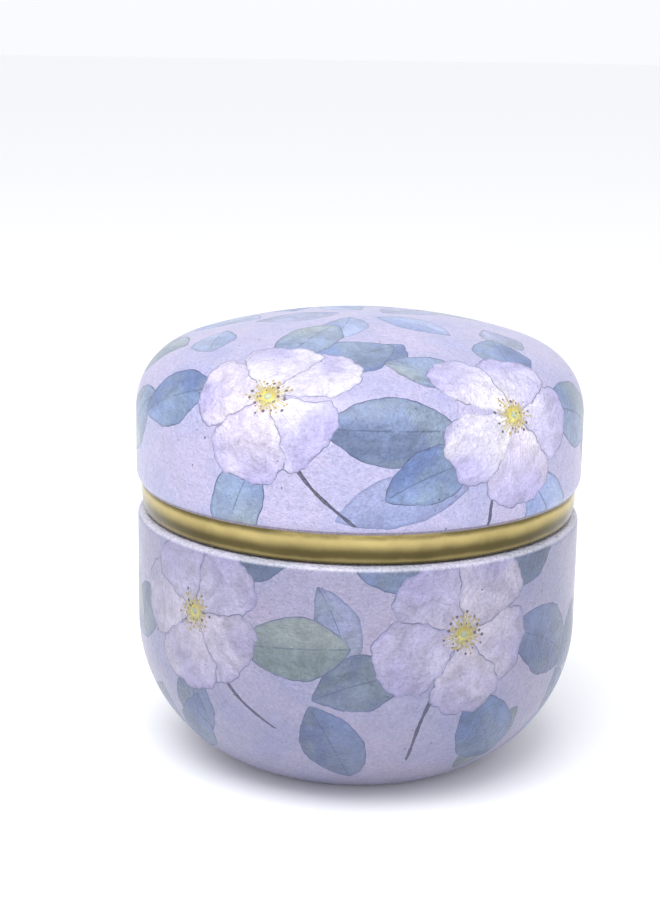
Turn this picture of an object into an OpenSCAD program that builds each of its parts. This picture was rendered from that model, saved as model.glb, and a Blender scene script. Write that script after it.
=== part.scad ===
// Round spice tin with a domed lift-off lid.
// Three drawn sheet-metal pieces share one vertical axis: a bowl-shaped body, a beaded
// ring pressed into its mouth, and a domed lid that slides over the ring's neck.
// Millimetres, +Z up, origin at the centre of the plane that the tin stands on.

/* [Whole tin] */
// Outside diameter of the lid's straight wall
lid_d = 80; // [50:0.5:140]
// Height of the closed tin
total_h = 80; // [60:0.5:140]
// Thickness of the tinplate
sheet_t = 0.3; // [0.2:0.05:0.5]
// Height at which the lid's wall starts to turn in
split_z = 52.5; // [35:0.1:90]

/* [Body] */
// Largest outside diameter of the body
body_d = 79.6; // [50:0.1:140]
// Radius of the rounded lower wall, seen in section
lower_r = 27.1; // [10:0.1:40]
// Height at which the lower wall becomes straight
lower_z = 24.95; // [12:0.05:40]
// Outside radius of the shoulder's bend
shoulder_r = 1.3; // [0.8:0.1:4]
// Height of the top of the shoulder
shoulder_z = 45; // [30:0.1:80]
// Outside radius of the bend that turns the mouth edge down
mouth_r = 0.9; // [0.6:0.05:2]
// Width of the flat between the shoulder's bend and the mouth's
mouth_flat = 0.9; // [0.2:0.1:2]
// Height of the raw lower edge of the turned-down mouth
mouth_edge_z = 40.5; // [25:0.1:70]

/* [Base] */
// Outside radius of the stand ring's outer bend
stand_r = 1.2; // [0.6:0.1:3]
// Width of the flat that the tin stands on
stand_w = 0.9; // [0.4:0.1:3]
// Height of the recess under the base panel
recess_h = 1.5; // [0.8:0.1:3]
// Radius of the embossed circle in the base panel
panel_bead_r = 14; // [6:0.5:18]
// Half the width of the embossed circle
panel_bead_w = 1.4; // [0.8:0.1:2.5]
// Height of the embossed circle
panel_bead_h = 0.6; // [0.3:0.1:1]

/* [Neck ring] */
// Largest outside diameter of the bead
bead_d = 78.2; // [48:0.1:138]
// Radius of the bead's bulge, seen in section
bead_r = 9; // [3:0.1:20]
// Height of the middle of the bead
bead_z = 48.3; // [32:0.1:85]
// Outside diameter of the neck that the lid slides over
neck_d = 77.3; // [46:0.1:136]
// Height of the top of the neck
neck_top_z = 60; // [40:0.1:100]
// Outside radius of the curl along the top of the neck
curl_r = 0.8; // [0.5:0.05:1.5]
// Height of the raw lower edge of the skirt inside the mouth
skirt_z = 38; // [25:0.1:70]

/* [Lid] */
// Radius of the crown's dome
crown_r = 101.5; // [60:0.5:200]
// Outside radius of the lid's shoulder
lid_shoulder_r = 12.1; // [4:0.1:25]
// Outside radius of the lip's bend
lip_r = 3; // [1.5:0.1:6]
// Angle that the lip turns through
lip_angle = 40; // [20:1:60]
// Diameter of the rounded edge of the lip
lip_edge_d = 0.5; // [0.3:0.05:1]

/* [Hidden] */
$fn = 160;
// Reach of a cutting shape past what it cuts
past = 5;
// Gap between the pressed ring and the mouth that holds it
seat_gap = 0.05;

// Body: centres of its bends, as [radius, height]
wall_r = body_d / 2;
lower_c = [wall_r - lower_r, lower_z];
shoulder_c = [wall_r - shoulder_r, shoulder_z - shoulder_r];
mouth_c = [shoulder_c[0] - mouth_flat, shoulder_z - mouth_r];

// Base: the stand ring's outer bend touches the lower wall from inside
stand_rise = lower_z - stand_r;
stand_c = [lower_c[0] + sqrt(pow(lower_r - stand_r, 2) - pow(stand_rise, 2)), stand_r];
stand_angle = atan2(stand_rise, stand_c[0] - lower_c[0]);
riser_r = 0.8;
riser_c = [stand_c[0] - stand_w, riser_r];
panel_bend = 0.5;
panel_c = [riser_c[0] - riser_r - panel_bend, recess_h - panel_bend];
panel_bead_round = (pow(panel_bead_w, 2) + pow(panel_bead_h, 2)) / (2 * panel_bead_h);
panel_bead_c = [panel_bead_r, recess_h + panel_bead_h - panel_bead_round];

// Neck ring: the bead's bulge, the fold under it and the bend over the mouth edge
neck_r = neck_d / 2;
bead_c = [bead_d / 2 - bead_r, bead_z];
// The bulge runs on inside the neck, so the two meet where they cross
bead_top_a = 60;
fold_r = 1;
fold_z = shoulder_z + seat_gap;
fold_a = asin((bead_z - fold_z - fold_r) / (bead_r - fold_r));
fold_c = [bead_c[0] + (bead_r - fold_r) * cos(fold_a), fold_z + fold_r];
over_r = mouth_r + seat_gap;
skirt_r = mouth_c[0] - over_r;
curl_c = [neck_r - curl_r, neck_top_z - curl_r];
curl_edge_z = curl_c[1] - 0.7;

// Lid: crown, shoulder and lip bends touch one another
lid_r = lid_d / 2;
crown_c = [0, total_h - crown_r];
lid_shoulder_in = lid_r - lid_shoulder_r;
lid_shoulder_rise = sqrt(pow(crown_r - lid_shoulder_r, 2) - pow(lid_shoulder_in, 2));
lid_shoulder_c = [lid_shoulder_in, crown_c[1] + lid_shoulder_rise];
crown_a = atan2(lid_shoulder_rise, lid_shoulder_in);
lip_c = [lid_r - lip_r, split_z];
lip_mid = lip_r - sheet_t / 2;
lip_edge_c = lip_c + lip_mid * [cos(lip_angle), -sin(lip_angle)];

// Each outline below is half the section of the solid inside a sheet's outer face.
// inset moves that face inwards, so a sheet is the outline less the outline at sheet_t.

// A block from the axis out to radius r, between two heights
module block(r, z0, z1) {
    translate([0, z0])
        square([r, z1 - z0]);
}

// A disc of radius r about c, kept between two angles
module pie(c, r, a0, a1) {
    steps = max(1, ceil((a1 - a0) / 40));
    rim = [
        for (i = [0 : steps])
            let (a = a0 + (a1 - a0) * i / steps)
            1.5 * r * [cos(a), sin(a)]
    ];
    translate(c)
        intersection() {
            circle(r = r);
            polygon(concat([[0, 0]], rim));
        }
}

// Space inside an edge that turns inwards over radius r about c and then down to edge_z
module turned_edge(c, r, edge_z, inset) {
    top_z = c[1] + r + past;
    block(c[0] - r + inset, edge_z, top_z);
    difference() {
        translate([c[0] - r, c[1]])
            square([r, top_z - c[1]]);
        translate(c)
            circle(r = r - inset);
    }
}

// Recess under the base panel, with its embossed circle
module base_recess(inset) {
    block(panel_c[0], -past, recess_h + inset);
    block(riser_c[0] - riser_r + inset, -past, panel_c[1]);
    translate(panel_c)
        circle(r = panel_bend + inset);
    translate(panel_bead_c)
        circle(r = panel_bead_round + inset);
    difference() {
        block(riser_c[0], -past, riser_c[1]);
        translate(riser_c)
            circle(r = riser_r - inset);
        block(riser_c[0] - riser_r, -past, -past / 2);
    }
}

module body_outline(inset) {
    pie(lower_c, lower_r - inset, -stand_angle, 0);
    translate(stand_c)
        circle(r = stand_r - inset);
    block(stand_c[0], inset, lower_z + 1);
    block(wall_r - inset, lower_z, shoulder_c[1]);
    block(shoulder_c[0], lower_z, shoulder_z - inset);
    translate(shoulder_c)
        circle(r = shoulder_r - inset);
}

module ring_outline(inset) {
    block(skirt_r - inset, skirt_z - 2 * inset, fold_c[1]);
    difference() {
        block(mouth_c[0], mouth_c[1], fold_c[1]);
        translate(mouth_c)
            circle(r = over_r + inset);
    }
    block(fold_c[0], fold_z + inset, bead_z);
    translate(fold_c)
        circle(r = fold_r - inset);
    pie(bead_c, bead_r - inset, -fold_a, bead_top_a);
    block(neck_r - inset, fold_c[1], curl_c[1]);
    block(curl_c[0], fold_c[1], neck_top_z - inset);
    translate(curl_c)
        circle(r = curl_r - inset);
}

module lid_outline(inset) {
    intersection() {
        pie(crown_c, crown_r - inset, crown_a, 90);
        block(lid_r, split_z, total_h + past);
    }
    translate(lid_shoulder_c)
        circle(r = lid_shoulder_r - inset);
    block(lid_r - inset, split_z, lid_shoulder_c[1]);
    block(lip_c[0], lip_c[1] - lip_r - inset, split_z + 1);
    pie(lip_c, lip_r - inset, -lip_angle - 40 * inset, 0);
}

// Printed tinplate bowl
module body_shell() {
    color([0.74, 0.72, 0.85])
        rotate_extrude()
            difference() {
                body_outline(0);
                base_recess(0);
                turned_edge(mouth_c, mouth_r, mouth_edge_z, 0);
                difference() {
                    body_outline(sheet_t);
                    base_recess(sheet_t);
                    turned_edge(mouth_c, mouth_r, mouth_edge_z, sheet_t);
                }
            }
}

// Gold-lacquered ring pressed into the mouth
module neck_ring() {
    color([0.72, 0.62, 0.38])
        rotate_extrude()
            difference() {
                ring_outline(0);
                turned_edge(curl_c, curl_r, curl_edge_z, 0);
                difference() {
                    ring_outline(sheet_t);
                    turned_edge(curl_c, curl_r, curl_edge_z, sheet_t);
                }
            }
}

// Printed tinplate lid, its lip ending in a rounded edge
module lid_shell() {
    color([0.75, 0.74, 0.87])
        rotate_extrude() {
            difference() {
                lid_outline(0);
                lid_outline(sheet_t);
            }
            translate(lip_edge_c)
                circle(d = lip_edge_d);
        }
}

body_shell();
neck_ring();
lid_shell();
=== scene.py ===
"""Looks of a round spice tin with a domed lift-off lid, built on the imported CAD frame.

Sections, prints and noise scales are written in millimetres; meshes are made in metres.
Every piece is a closed sheet-metal skin: the printed outside is one fine mesh that carries
the drawing in its faces, and the lacquered inside closes it.
"""

import math
import random

import bpy
import numpy as np
from mathutils import Matrix, Vector
from mathutils.geometry import delaunay_2d_cdt


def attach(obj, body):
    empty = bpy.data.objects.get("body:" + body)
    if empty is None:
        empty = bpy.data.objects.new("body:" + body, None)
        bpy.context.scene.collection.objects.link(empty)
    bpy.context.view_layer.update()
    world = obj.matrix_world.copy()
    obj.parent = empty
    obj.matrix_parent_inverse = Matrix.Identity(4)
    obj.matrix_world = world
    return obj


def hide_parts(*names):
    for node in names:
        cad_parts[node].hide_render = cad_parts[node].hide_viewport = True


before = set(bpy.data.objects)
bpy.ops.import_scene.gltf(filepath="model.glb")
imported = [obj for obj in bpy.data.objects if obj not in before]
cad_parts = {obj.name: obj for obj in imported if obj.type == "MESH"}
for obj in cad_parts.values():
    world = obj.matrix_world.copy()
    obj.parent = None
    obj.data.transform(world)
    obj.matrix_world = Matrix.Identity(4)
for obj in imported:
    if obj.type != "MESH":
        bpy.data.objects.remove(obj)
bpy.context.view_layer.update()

MM = 0.001
SHEET = 0.3
# Columns of every turned ring, so that the printed skins and the insides share their edges
COLUMNS = 320
TURN = 2 * math.pi / COLUMNS


# ---------------------------------------------------------------- sections

class Section:
    """A run of arcs and lines, [radius, height] in mm. The outside is on the left of travel."""

    def __init__(self):
        self.parts = []
        self.length = 0.0

    def arc(self, centre, radius, start, end):
        """Degrees. Falling angles bulge outwards, rising angles are hollow."""
        span = math.radians(end - start)
        size = abs(span) * radius
        self.parts.append(("arc", self.length, size, centre, radius, math.radians(start), span))
        self.length += size

    def line(self, start, end):
        size = math.dist(start, end)
        self.parts.append(("line", self.length, size, start, end))
        self.length += size

    @staticmethod
    def on(part, t):
        """(radius, height, normal's radial part, normal's height part) at share t of a part."""
        if part[0] == "line":
            (r0, z0), (r1, z1) = part[3], part[4]
            return (r0 + t * (r1 - r0), z0 + t * (z1 - z0),
                    -(z1 - z0) / part[2], (r1 - r0) / part[2])
        _, _, _, c, radius, start, span = part
        a = start + t * span
        side = 1.0 if span < 0 else -1.0
        return (c[0] + radius * math.cos(a), c[1] + radius * math.sin(a),
                side * math.cos(a), side * math.sin(a))

    def at(self, s):
        for part in self.parts:
            if s <= part[1] + part[2]:
                return self.on(part, (s - part[1]) / part[2])
        return self.on(self.parts[-1], 1.0)

    def steps(self, line_step, arc_step):
        """Each part with its number of rings: lines by line_step mm, arcs by arc_step degrees."""
        for part in self.parts:
            if part[0] == "line":
                yield part, max(1, math.ceil(part[2] / line_step))
            else:
                yield part, max(2, math.ceil(abs(math.degrees(part[6])) / arc_step))


# Lid, from the pole of its crown out and down
LID_R = 40.0
LID_TOP = 80.0
CROWN_R = 101.5
CROWN_C = (0.0, LID_TOP - CROWN_R)
SHOULDER_R = 12.1
SHOULDER_IN = LID_R - SHOULDER_R
SHOULDER_RISE = math.sqrt((CROWN_R - SHOULDER_R) ** 2 - SHOULDER_IN ** 2)
SHOULDER_C = (SHOULDER_IN, CROWN_C[1] + SHOULDER_RISE)
CROWN_A = math.degrees(math.atan2(SHOULDER_RISE, SHOULDER_IN))
SPLIT_Z = 52.5
LIP_R = 3.0
LIP_A = 40.0
LIP_C = (LID_R - LIP_R, SPLIT_Z)
LIP_ROUND = 0.25
LIP_MID = LIP_R - SHEET / 2
LIP_ROUND_C = (LIP_C[0] + LIP_MID * math.cos(math.radians(LIP_A)),
               LIP_C[1] - LIP_MID * math.sin(math.radians(LIP_A)))
# Where the rounded edge leaves the sheet's faces, as turns about its own centre
LIP_OUT = math.degrees(math.acos((LIP_R ** 2 - LIP_MID ** 2 - LIP_ROUND ** 2)
                                 / (2 * LIP_MID * LIP_ROUND)))
LIP_IN = math.degrees(math.acos((LIP_MID ** 2 + LIP_ROUND ** 2 - (LIP_R - SHEET) ** 2)
                                / (2 * LIP_MID * LIP_ROUND)))
LIP_OUT_BACK = math.degrees(math.asin(LIP_ROUND * math.sin(math.radians(LIP_OUT)) / LIP_R))
LIP_IN_BACK = math.degrees(math.asin(LIP_ROUND * math.sin(math.radians(LIP_IN))
                                     / (LIP_R - SHEET)))

lid_out = Section()
lid_out.arc(CROWN_C, CROWN_R, 90, CROWN_A)
lid_out.arc(SHOULDER_C, SHOULDER_R, CROWN_A, 0)
lid_out.line((LID_R, SHOULDER_C[1]), (LID_R, SPLIT_Z))
lid_out.arc(LIP_C, LIP_R, 0, -(LIP_A - LIP_OUT_BACK))

lip_edge = Section()
lip_edge.arc(LIP_ROUND_C, LIP_ROUND, LIP_OUT - LIP_A, LIP_IN - LIP_A - 180 - 2 * LIP_IN)

lid_in = Section()
lid_in.arc(LIP_C, LIP_R - SHEET, -(LIP_A - LIP_IN_BACK), 0)
lid_in.line((LID_R - SHEET, SPLIT_Z), (LID_R - SHEET, SHOULDER_C[1]))
lid_in.arc(SHOULDER_C, SHOULDER_R - SHEET, 0, CROWN_A)
lid_in.arc(CROWN_C, CROWN_R - SHEET, CROWN_A, 90)

# Body, from the top of its shoulder out and down to the stand, then under the base
BODY_R = 39.8
LOWER_R = 27.1
LOWER_Z = 24.95
LOWER_C = (BODY_R - LOWER_R, LOWER_Z)
RIM_R = 1.3
RIM_Z = 45.0
RIM_C = (BODY_R - RIM_R, RIM_Z - RIM_R)
MOUTH_R = 0.9
MOUTH_FLAT = 0.9
MOUTH_C = (RIM_C[0] - MOUTH_FLAT, RIM_Z - MOUTH_R)
MOUTH_EDGE_Z = 40.5
STAND_R = 1.2
STAND_W = 0.9
STAND_RISE = LOWER_Z - STAND_R
STAND_C = (LOWER_C[0] + math.sqrt((LOWER_R - STAND_R) ** 2 - STAND_RISE ** 2), STAND_R)
STAND_A = math.degrees(math.atan2(STAND_RISE, STAND_C[0] - LOWER_C[0]))
RISER_R = 0.8
RISER_C = (STAND_C[0] - STAND_W, RISER_R)
PANEL_BEND = 0.5
RECESS_H = 1.5
PANEL_C = (RISER_C[0] - RISER_R - PANEL_BEND, RECESS_H - PANEL_BEND)
EMBOSS_R = 14.0
EMBOSS_W = 1.4
EMBOSS_H = 0.6
EMBOSS_ROUND = (EMBOSS_W ** 2 + EMBOSS_H ** 2) / (2 * EMBOSS_H)
EMBOSS_C = (EMBOSS_R, RECESS_H + EMBOSS_H - EMBOSS_ROUND)


def emboss_end(radius, face_z):
    """Angle above the horizon at which a circle about the emboss centre meets a face."""
    return math.degrees(math.asin((face_z - EMBOSS_C[1]) / radius))


body_out = Section()
body_out.line((MOUTH_C[0], RIM_Z), (RIM_C[0], RIM_Z))
body_out.arc(RIM_C, RIM_R, 90, 0)
body_out.line((BODY_R, RIM_C[1]), (BODY_R, LOWER_Z))
body_out.arc(LOWER_C, LOWER_R, 0, -STAND_A)
body_out.arc(STAND_C, STAND_R, -STAND_A, -90)

body_in = Section()
body_in.line((STAND_C[0], 0), (RISER_C[0], 0))
body_in.arc(RISER_C, RISER_R, -90, -180)
body_in.line((RISER_C[0] - RISER_R, RISER_C[1]), (RISER_C[0] - RISER_R, PANEL_C[1]))
body_in.arc(PANEL_C, PANEL_BEND, 0, 90)
UNDER_A = emboss_end(EMBOSS_ROUND, RECESS_H)
UNDER_W = EMBOSS_ROUND * math.cos(math.radians(UNDER_A))
body_in.line((PANEL_C[0], RECESS_H), (EMBOSS_R + UNDER_W, RECESS_H))
body_in.arc(EMBOSS_C, EMBOSS_ROUND, UNDER_A, 180 - UNDER_A)
body_in.line((EMBOSS_R - UNDER_W, RECESS_H), (0, RECESS_H))
PANEL_TOP = RECESS_H + SHEET
UPPER_A = emboss_end(EMBOSS_ROUND + SHEET, PANEL_TOP)
UPPER_W = (EMBOSS_ROUND + SHEET) * math.cos(math.radians(UPPER_A))
body_up = Section()
body_up.line((0, PANEL_TOP), (EMBOSS_R - UPPER_W, PANEL_TOP))
body_up.arc(EMBOSS_C, EMBOSS_ROUND + SHEET, 180 - UPPER_A, UPPER_A)
body_up.line((EMBOSS_R + UPPER_W, PANEL_TOP), (PANEL_C[0], PANEL_TOP))
body_up.arc(PANEL_C, PANEL_BEND + SHEET, 90, 0)
body_up.line((RISER_C[0] - RISER_R + SHEET, PANEL_C[1]), (RISER_C[0] - RISER_R + SHEET, RISER_C[1]))
body_up.arc(RISER_C, RISER_R - SHEET, 180, 270)
body_up.line((RISER_C[0], SHEET), (STAND_C[0], SHEET))
body_up.arc(STAND_C, STAND_R - SHEET, -90, -STAND_A)
body_up.arc(LOWER_C, LOWER_R - SHEET, -STAND_A, 0)
body_up.line((BODY_R - SHEET, LOWER_Z), (BODY_R - SHEET, RIM_C[1]))
body_up.arc(RIM_C, RIM_R - SHEET, 0, 90)
body_up.line((RIM_C[0], RIM_Z - SHEET), (MOUTH_C[0], RIM_Z - SHEET))
body_up.arc(MOUTH_C, MOUTH_R - SHEET, 90, 180)
FLANGE_OUT = MOUTH_C[0] - MOUTH_R + SHEET
body_up.line((FLANGE_OUT, MOUTH_C[1]), (FLANGE_OUT, MOUTH_EDGE_Z))
body_up.line((FLANGE_OUT, MOUTH_EDGE_Z), (FLANGE_OUT - SHEET, MOUTH_EDGE_Z))
body_up.line((FLANGE_OUT - SHEET, MOUTH_EDGE_Z), (FLANGE_OUT - SHEET, MOUTH_C[1]))
body_up.arc(MOUTH_C, MOUTH_R, 180, 90)

# Neck ring, from the top of its curl out and down, then up inside
NECK_R = 38.65
BEAD_OUT = 39.1
BEAD_R = 9.0
BEAD_C = (BEAD_OUT - BEAD_R, 48.3)
# Gap between the pressed ring and the mouth that holds it
SEAT_GAP = 0.05
FOLD_R = 1.0
FOLD_Z = RIM_Z + SEAT_GAP
FOLD_A = math.degrees(math.asin((BEAD_C[1] - FOLD_Z - FOLD_R) / (BEAD_R - FOLD_R)))
FOLD_C = (BEAD_C[0] + (BEAD_R - FOLD_R) * math.cos(math.radians(FOLD_A)), FOLD_Z + FOLD_R)
OVER_R = MOUTH_R + SEAT_GAP
SKIRT_R = MOUTH_C[0] - OVER_R
SKIRT_Z = 38.0
CURL_R = 0.8
NECK_TOP = 60.0
CURL_C = (NECK_R - CURL_R, NECK_TOP - CURL_R)
CURL_DROP = 0.7
CURL_EDGE_Z = CURL_C[1] - CURL_DROP
NECK_FOOT = math.degrees(math.acos((NECK_R - BEAD_C[0]) / BEAD_R))
NECK_IN_FOOT = math.degrees(math.acos((NECK_R - SHEET - BEAD_C[0]) / (BEAD_R - SHEET)))

ring = Section()
ring.arc(CURL_C, CURL_R, 90, 0)
ring.line((NECK_R, CURL_C[1]), (NECK_R, BEAD_C[1] + BEAD_R * math.sin(math.radians(NECK_FOOT))))
ring.arc(BEAD_C, BEAD_R, NECK_FOOT, -FOLD_A)
ring.arc(FOLD_C, FOLD_R, -FOLD_A, -90)
ring.line((FOLD_C[0], FOLD_Z), (MOUTH_C[0], FOLD_Z))
ring.arc(MOUTH_C, OVER_R, 90, 180)
ring.line((SKIRT_R, MOUTH_C[1]), (SKIRT_R, SKIRT_Z))
ring.line((SKIRT_R, SKIRT_Z), (SKIRT_R - SHEET, SKIRT_Z))
ring.line((SKIRT_R - SHEET, SKIRT_Z), (SKIRT_R - SHEET, MOUTH_C[1]))
ring.arc(MOUTH_C, OVER_R + SHEET, 180, 90)
ring.line((MOUTH_C[0], FOLD_Z + SHEET), (FOLD_C[0], FOLD_Z + SHEET))
ring.arc(FOLD_C, FOLD_R - SHEET, -90, -FOLD_A)
ring.arc(BEAD_C, BEAD_R - SHEET, -FOLD_A, NECK_IN_FOOT)
ring.line((NECK_R - SHEET, BEAD_C[1] + (BEAD_R - SHEET) * math.sin(math.radians(NECK_IN_FOOT))),
          (NECK_R - SHEET, CURL_C[1]))
ring.arc(CURL_C, CURL_R - SHEET, 0, 180)
ring.line((CURL_C[0] - CURL_R + SHEET, CURL_C[1]), (CURL_C[0] - CURL_R + SHEET, CURL_EDGE_Z))
ring.line((CURL_C[0] - CURL_R + SHEET, CURL_EDGE_Z), (CURL_C[0] - CURL_R, CURL_EDGE_Z))
ring.line((CURL_C[0] - CURL_R, CURL_EDGE_Z), (CURL_C[0] - CURL_R, CURL_C[1]))
ring.arc(CURL_C, CURL_R, 180, 90)


# ---------------------------------------------------------------- skins

def spot(az, r, z):
    """Azimuth 0 is the front, and it grows to the right. Radians and mm to a point."""
    return r * math.sin(az), -r * math.cos(az), z


class Skin:
    """A mesh in the making: points in mm, faces, and a normal and print values per corner."""

    def __init__(self):
        self.points = []
        self.faces = []
        self.slots = []
        self.normals = []
        self.tint = []
        self.shape = []
        self.brush = []

    def ring(self, r, z):
        start = len(self.points)
        count = COLUMNS if r > 1e-6 else 1
        self.points += [spot(TURN * i, r, z) for i in range(count)]
        return list(range(start, start + count))

    def face(self, corners, normals, slot, print_values=None):
        self.faces.append(corners)
        self.slots.append(slot)
        self.normals += normals
        plain = [(GROUND, NO_SHAPE, NO_BRUSH)] * len(corners)
        for tint, shape, brush in print_values or plain:
            self.tint.append(tint)
            self.shape.append(shape)
            self.brush.append(brush)

    def band(self, above, below, up, down, slot):
        """Faces between two rings. up and down are the section's normals at each."""
        for i in range(COLUMNS):
            j = (i + 1) % COLUMNS
            a, b, m = TURN * i, TURN * (i + 1), TURN * (i + 0.5)
            if len(above) == 1:
                corners = (above[0], below[i], below[j])
                normals = [spot(m, *up), spot(a, *down), spot(b, *down)]
            elif len(below) == 1:
                corners = (above[i], below[0], above[j])
                normals = [spot(a, *up), spot(m, *down), spot(b, *up)]
            else:
                corners = (above[i], below[i], below[j], above[j])
                normals = [spot(a, *up), spot(a, *down), spot(b, *down), spot(b, *up)]
            self.face(corners, normals, slot)

    def run(self, section, slot, first=None, last=None, line_step=4.0, arc_step=7.0):
        """Turns a section into rings. first and last are rings that it shares."""
        start = section.on(section.parts[0], 0.0)
        above = first or self.ring(*start[:2])
        final = section.parts[-1]
        for part, count in section.steps(line_step, arc_step):
            for i in range(count):
                here, there = section.on(part, i / count), section.on(part, (i + 1) / count)
                closing = last if part is final and i == count - 1 else None
                below = closing or self.ring(*there[:2])
                self.band(above, below, here[2:], there[2:], slot)
                above = below
        return above

    def piece(self, name, materials, printed=True):
        mesh = bpy.data.meshes.new(name)
        mesh.from_pydata([[v * MM for v in p] for p in self.points], [], self.faces)
        for material in materials:
            mesh.materials.append(material)
        mesh.polygons.foreach_set("material_index", self.slots)
        mesh.polygons.foreach_set("use_smooth", [True] * len(self.faces))
        if printed:
            colours = mesh.attributes.new("tint", "FLOAT_COLOR", "CORNER")
            colours.data.foreach_set("color", np.array(self.tint, np.float32).ravel())
            for key, values in (("shape", self.shape), ("brush", self.brush)):
                layer = mesh.attributes.new(key, "FLOAT_VECTOR", "CORNER")
                layer.data.foreach_set("vector", np.array(values, np.float32).ravel())
        mesh.update()
        mesh.normals_split_custom_set(self.normals)
        made = bpy.data.objects.new(name, mesh)
        bpy.context.collection.objects.link(made)
        return made


# ---------------------------------------------------------------- the print's drawing

def rgb(red, green, blue):
    """A screen colour, 0 to 255, as linear light."""
    return tuple(((c / 255 + 0.055) / 1.055) ** 2.4 for c in (red, green, blue))


GROUND = (*rgb(178, 176, 213), 1.0)
NO_SHAPE = (0.0, 0.0, 9.0)
BARE, PETAL, LEAF, STEM, WASH, POLLEN, DOT = range(7)
NO_BRUSH = (float(BARE), 0.5, 0.0)
# Spacing in mm of an outline's corners, of the bare print's points, and of points on tight bends
OUTLINE_STEP = 0.38
GRAIN = 1.3
BEND_GRAIN = 0.22
# Arcs under the first radius are tight bends, and those under the second are broad ones
TIGHT_R = 5
BROAD_R = 50
# How far inside an outline its second row of points runs
RIM_DEPTH = 0.3
# A shape stays this clear of the print's ends when it is judged
EDGE_MARGIN = 0.1
# Depths of the waves along the edges of leaves and petals
LEAF_CRINKLE = 0.10
PETAL_CRINKLE = 0.30
PETAL_INK = 0.8
STEM_TAPER = 0.35
# Radius of a blossom's yellow middle, and how many stamens stand round it
HEART = 2.6
STAMENS = 40


class Chart:
    """A true-to-shape flat map of a printed section: polar, growing along the section."""

    def __init__(self, section, rim_radius):
        self.section = section
        self.length = section.length
        self.s = np.linspace(0, section.length, 8001)
        self.r = np.array([section.at(v)[0] for v in self.s])
        self.has_pole = self.r[0] < 1e-6
        safe = np.maximum(self.r, 1e-9)
        steps = np.diff(self.s) * 0.5 * (1 / safe[1:] + 1 / safe[:-1])
        if self.has_pole:
            first = int(np.searchsorted(self.s, rim_radius))
            grow = np.concatenate([[0], np.cumsum(steps[first:])])
            self.rho = np.concatenate([self.s[:first], self.s[first] * np.exp(grow)])
        else:
            self.rho = rim_radius * np.exp(np.concatenate([[0], np.cumsum(steps)]))

    def radius(self, s):
        return np.interp(s, self.s, self.r)

    def flat(self, az, s):
        rho = np.interp(s, self.s, self.rho)
        return np.stack([rho * np.cos(az), rho * np.sin(az)], -1)

    def unflat(self, xy):
        return np.arctan2(xy[:, 1], xy[:, 0]), np.interp(np.hypot(*xy.T), self.rho, self.s)


def resample(points, step, closed):
    """The same line with corners about step apart."""
    points = np.asarray(points, float)
    if closed:
        points = np.vstack([points, points[:1]])
    gaps = np.hypot(*np.diff(points, axis=0).T)
    along = np.concatenate([[0], np.cumsum(gaps)])
    count = max(3, int(round(along[-1] / step)))
    at = np.linspace(0, along[-1], count + 1)
    out = np.stack([np.interp(at, along, points[:, k]) for k in (0, 1)], -1)
    return out[:-1] if closed else out


class Motif:
    """One painted shape: an outline and a spine in mm about an anchor, x right and y up."""

    def __init__(self, chart, kind, anchor, outline, spine, half_width, tints, ink, seed):
        self.chart, self.kind, self.anchor = chart, kind, anchor
        self.outline = resample(outline, OUTLINE_STEP, True)
        if self.turn(self.outline) < 0:
            self.outline = self.outline[::-1]
        self.spine = np.asarray(spine, float)
        self.half_width, self.tints, self.ink, self.seed = half_width, tints, ink, seed

    @staticmethod
    def turn(p):
        q = np.roll(p, -1, 0)
        return float(np.sum(p[:, 0] * q[:, 1] - q[:, 0] * p[:, 1]))

    def on_chart(self, local, margin):
        """Local points to (azimuth, length), kept margin clear of the print's ends."""
        az0, s0 = math.radians(self.anchor[0]), self.anchor[1]
        low = 0.0 if self.chart.has_pole else margin
        s = np.clip(s0 - local[:, 1], low, self.chart.length - margin)
        return az0 + local[:, 0] / np.maximum(self.chart.radius(s), 0.5), s

    def local(self, az, s):
        turn = (az - math.radians(self.anchor[0]) + math.pi) % (2 * math.pi) - math.pi
        return np.stack([turn * self.chart.radius(s), self.anchor[1] - s], -1)

    def measure(self, p):
        """(share along the spine, side -1 to 1, distance to the outline) for local points."""
        a, b = self.spine[:-1], self.spine[1:]
        d = b - a
        size = np.hypot(*d.T)
        rel = p[:, None] - a[None]
        t = np.clip((rel * d).sum(-1) / size ** 2, 0, 1)
        gap = rel - t[..., None] * d
        best = np.argmin((gap ** 2).sum(-1), 1)
        rows = np.arange(len(p))
        along = np.concatenate([[0], np.cumsum(size)])
        u = (along[best] + t[rows, best] * size[best]) / along[-1]
        near = gap[rows, best]
        side = d[best, 0] * near[:, 1] - d[best, 1] * near[:, 0]
        v = -np.sign(side) * np.hypot(*near.T) / self.half_width
        a, b = self.outline, np.roll(self.outline, -1, 0)
        d = b - a
        rel = p[:, None] - a[None]
        t = np.clip((rel * d).sum(-1) / np.maximum((d ** 2).sum(-1), 1e-12), 0, 1)
        gap = rel - t[..., None] * d
        return u, v, np.sqrt((gap ** 2).sum(-1).min(1))

    def paint(self, az, s):
        """Tint, shape and brush values for points of the print."""
        u, v, edge = self.measure(self.local(az, s))
        base, tip, side = (np.array(t) for t in self.tints)
        soft = (u * u * (3 - 2 * u))[:, None]
        lean = np.clip(0.5 + 1.6 * v, 0, 1)[:, None]
        tint = (base * (1 - soft) + tip * soft) * (1 - lean) + side * lean
        tint = np.concatenate([tint, np.ones((len(u), 1))], 1)
        brush = np.tile([self.kind, self.seed, self.ink], (len(u), 1))
        return tint, np.stack([u, v, edge], -1), brush


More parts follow.
